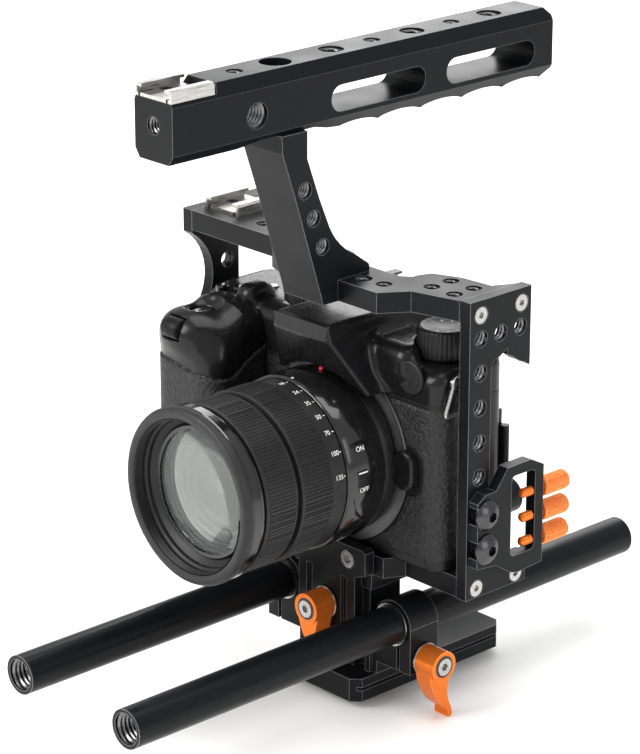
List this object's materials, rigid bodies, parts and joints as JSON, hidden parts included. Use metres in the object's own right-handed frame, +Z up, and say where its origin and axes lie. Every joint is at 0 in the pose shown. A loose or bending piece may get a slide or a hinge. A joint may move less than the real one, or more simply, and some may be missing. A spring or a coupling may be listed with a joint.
{
  "type": "cinema camera rig",
  "caption": "Camera cage with top handle, rod base with clamp levers, cable clamp, and a mirrorless camera with a zoom lens.",
  "frame": {"origin": "mouth of the 1/4 inch tripod socket in the middle of the base plate's underside", "axes": "+Z up, the lens looks along -Y, +X towards the cable clamp side; the rods run along Y"},
  "size_m": [0.1566, 0.256, 0.2534],
  "materials": {
    "anodised_black": "satin black anodised aluminium",
    "anodised_orange": "satin orange anodised aluminium",
    "rod_black": "hard black anodised tube",
    "bright_steel": "bright plated steel",
    "dark_steel": "dark oxide steel",
    "camera_plastic": "fine matt black",
    "gloss_black": "polished black",
    "grip_rubber": "leather-grained rubber",
    "soft_rubber": "matt",
    "lens_glass": "coated",
    "screen_glass": "polished",
    "sensor_green": "coated",
    "board_green": "solder mask",
    "battery_grey": "matt"
  },
  "bodies": {
    "base": {"base_plate": "anodised_black", "base_rubber_pad": "soft_rubber", "rod_clamp_block": "anodised_black", "base_screws": "bright_steel"},
    "rod_left": {"rod_left": "rod_black"},
    "rod_right": {"rod_right": "rod_black"},
    "rod_lever": {"rod_lever": "anodised_orange", "rod_lever_screw": "bright_steel"},
    "riser_lever": {"riser_lever": "anodised_orange", "riser_lever_screw": "bright_steel"},
    "cage": {"riser_column": "anodised_black", "riser_screws": "bright_steel", "cage_bottom_plate": "anodised_black", "cage_side_plate": "anodised_black", "cage_left_plate": "anodised_black", "cage_top_plate": "anodised_black", "cage_corner_screws": "bright_steel", "camera_screw": "bright_steel", "cage_shoe": "bright_steel", "handle_bar": "anodised_black", "handle_post": "anodised_black", "handle_shoe": "bright_steel", "shoe_screws": "bright_steel", "handle_bolts": "dark_steel", "cable_clamp_plate": "anodised_black", "cable_clamp_bolts": "dark_steel", "camera_front_shell": "camera_plastic", "camera_rear_shell": "camera_plastic", "camera_top_cover": "camera_plastic", "camera_grip": "grip_rubber", "battery": "battery_grey", "sensor_unit": "sensor_green", "main_board": "board_green", "lens_mount_ring": "bright_steel", "sync_socket_cap": "soft_rubber", "hot_shoe": "bright_steel", "eyecup": "soft_rubber", "viewfinder_lens": "screen_glass", "strap_lugs": "bright_steel", "lens_barrel": "gloss_black", "rear_glass": "lens_glass"},
    "cable_screw_1": {"cable_screw_1": "anodised_orange"},
    "cable_screw_2": {"cable_screw_2": "anodised_orange"},
    "cable_screw_3": {"cable_screw_3": "anodised_orange"},
    "shutter_button": {"shutter_button": "bright_steel"},
    "mode_dial": {"mode_dial": "camera_plastic"},
    "drive_dial": {"drive_dial": "camera_plastic"},
    "front_dial": {"front_dial": "camera_plastic"},
    "rear_dial": {"rear_dial": "camera_plastic"},
    "lens_release_button": {"lens_release_button": "camera_plastic"},
    "screen": {"screen_panel": "screen_glass"},
    "strap_ring": {"strap_ring": "bright_steel"},
    "zoom_ring": {"zoom_ring": "soft_rubber"},
    "focus_ring": {"focus_ring": "soft_rubber"},
    "front_barrel": {"front_barrel": "gloss_black", "front_glass": "lens_glass"},
    "stabiliser_switch": {"stabiliser_switch": "gloss_black"}
  },
  "joints": [
    {"name": "riser_height", "type": "slide", "parent": "base", "child": "cage", "axis": [0, 0, 1], "range_m": [0, 0.0085]},
    {"name": "rod_left_slide", "type": "slide", "parent": "base", "child": "rod_left", "axis": [0, -1, 0], "range_m": [-0.06, 0.06]},
    {"name": "rod_right_slide", "type": "slide", "parent": "base", "child": "rod_right", "axis": [0, -1, 0], "range_m": [-0.06, 0.06]},
    {"name": "rod_lever_turn", "type": "hinge", "parent": "base", "child": "rod_lever", "pos_m": [0, -0.02275, 0.0198], "axis": [1, 0, 0], "range_deg": [-90, 45]},
    {"name": "riser_lever_turn", "type": "hinge", "parent": "base", "child": "riser_lever", "pos_m": [0, -0.036, 0.0344], "axis": [0, 1, 0], "range_deg": [-40, 40]},
    {"name": "cable_screw_1_travel", "type": "slide", "parent": "cage", "child": "cable_screw_1", "axis": [0, 1, 0], "range_m": [0, 0.008]},
    {"name": "cable_screw_2_travel", "type": "slide", "parent": "cage", "child": "cable_screw_2", "axis": [0, 1, 0], "range_m": [0, 0.008]},
    {"name": "cable_screw_3_travel", "type": "slide", "parent": "cage", "child": "cable_screw_3", "axis": [0, 1, 0], "range_m": [0, 0.008]},
    {"name": "shutter_press", "type": "slide", "parent": "cage", "child": "shutter_button", "axis": [0, 0, -1], "range_m": [0, 0.0015], "stiffness_N_per_m": 500},
    {"name": "mode_dial_turn", "type": "hinge", "parent": "cage", "child": "mode_dial", "pos_m": [-0.032, -0.0145, 0.146], "axis": [0, 0, 1], "continuous": true},
    {"name": "drive_dial_turn", "type": "hinge", "parent": "cage", "child": "drive_dial", "pos_m": [0.0375, -0.012, 0.146], "axis": [0, 0, 1], "range_deg": [-60, 90]},
    {"name": "front_dial_turn", "type": "hinge", "parent": "cage", "child": "front_dial", "pos_m": [-0.0625, -0.0565, 0.1335], "axis": [1, 0, 0], "continuous": true},
    {"name": "rear_dial_turn", "type": "hinge", "parent": "cage", "child": "rear_dial", "pos_m": [-0.0655, 0.0054, 0.132], "axis": [1, 0, 0], "continuous": true},
    {"name": "lens_release_press", "type": "slide", "parent": "cage", "child": "lens_release_button", "axis": [0, 1, 0], "range_m": [0, 0.0015], "stiffness_N_per_m": 500},
    {"name": "screen_open", "type": "hinge", "parent": "cage", "child": "screen", "pos_m": [0.0486, 0.0094, 0.09], "axis": [0, 0, -1], "range_deg": [0, 110]},
    {"name": "strap_ring_swing", "type": "hinge", "parent": "cage", "child": "strap_ring", "pos_m": [0.0528, -0.0205, 0.1325], "axis": [1, 0, 0], "range_deg": [-30, 60]},
    {"name": "zoom_ring_turn", "type": "hinge", "parent": "cage", "child": "zoom_ring", "pos_m": [0, -0.067, 0.0962], "axis": [0, 1, 0], "range_deg": [0, 80]},
    {"name": "front_barrel_extend", "type": "slide", "parent": "cage", "child": "front_barrel", "axis": [0, -1, 0], "range_m": [0, 0.045]},
    {"name": "focus_ring_turn", "type": "hinge", "parent": "cage", "child": "focus_ring", "pos_m": [0, -0.087, 0.0962], "axis": [0, 1, 0], "continuous": true},
    {"name": "stabiliser_slide", "type": "slide", "parent": "cage", "child": "stabiliser_switch", "axis": [0, 0, -1], "range_m": [0, 0.005]}
  ],
  "couplings": [
    {"joint": "zoom_ring_turn", "follows": "front_barrel_extend", "rad_per_m": 31}
  ]
}
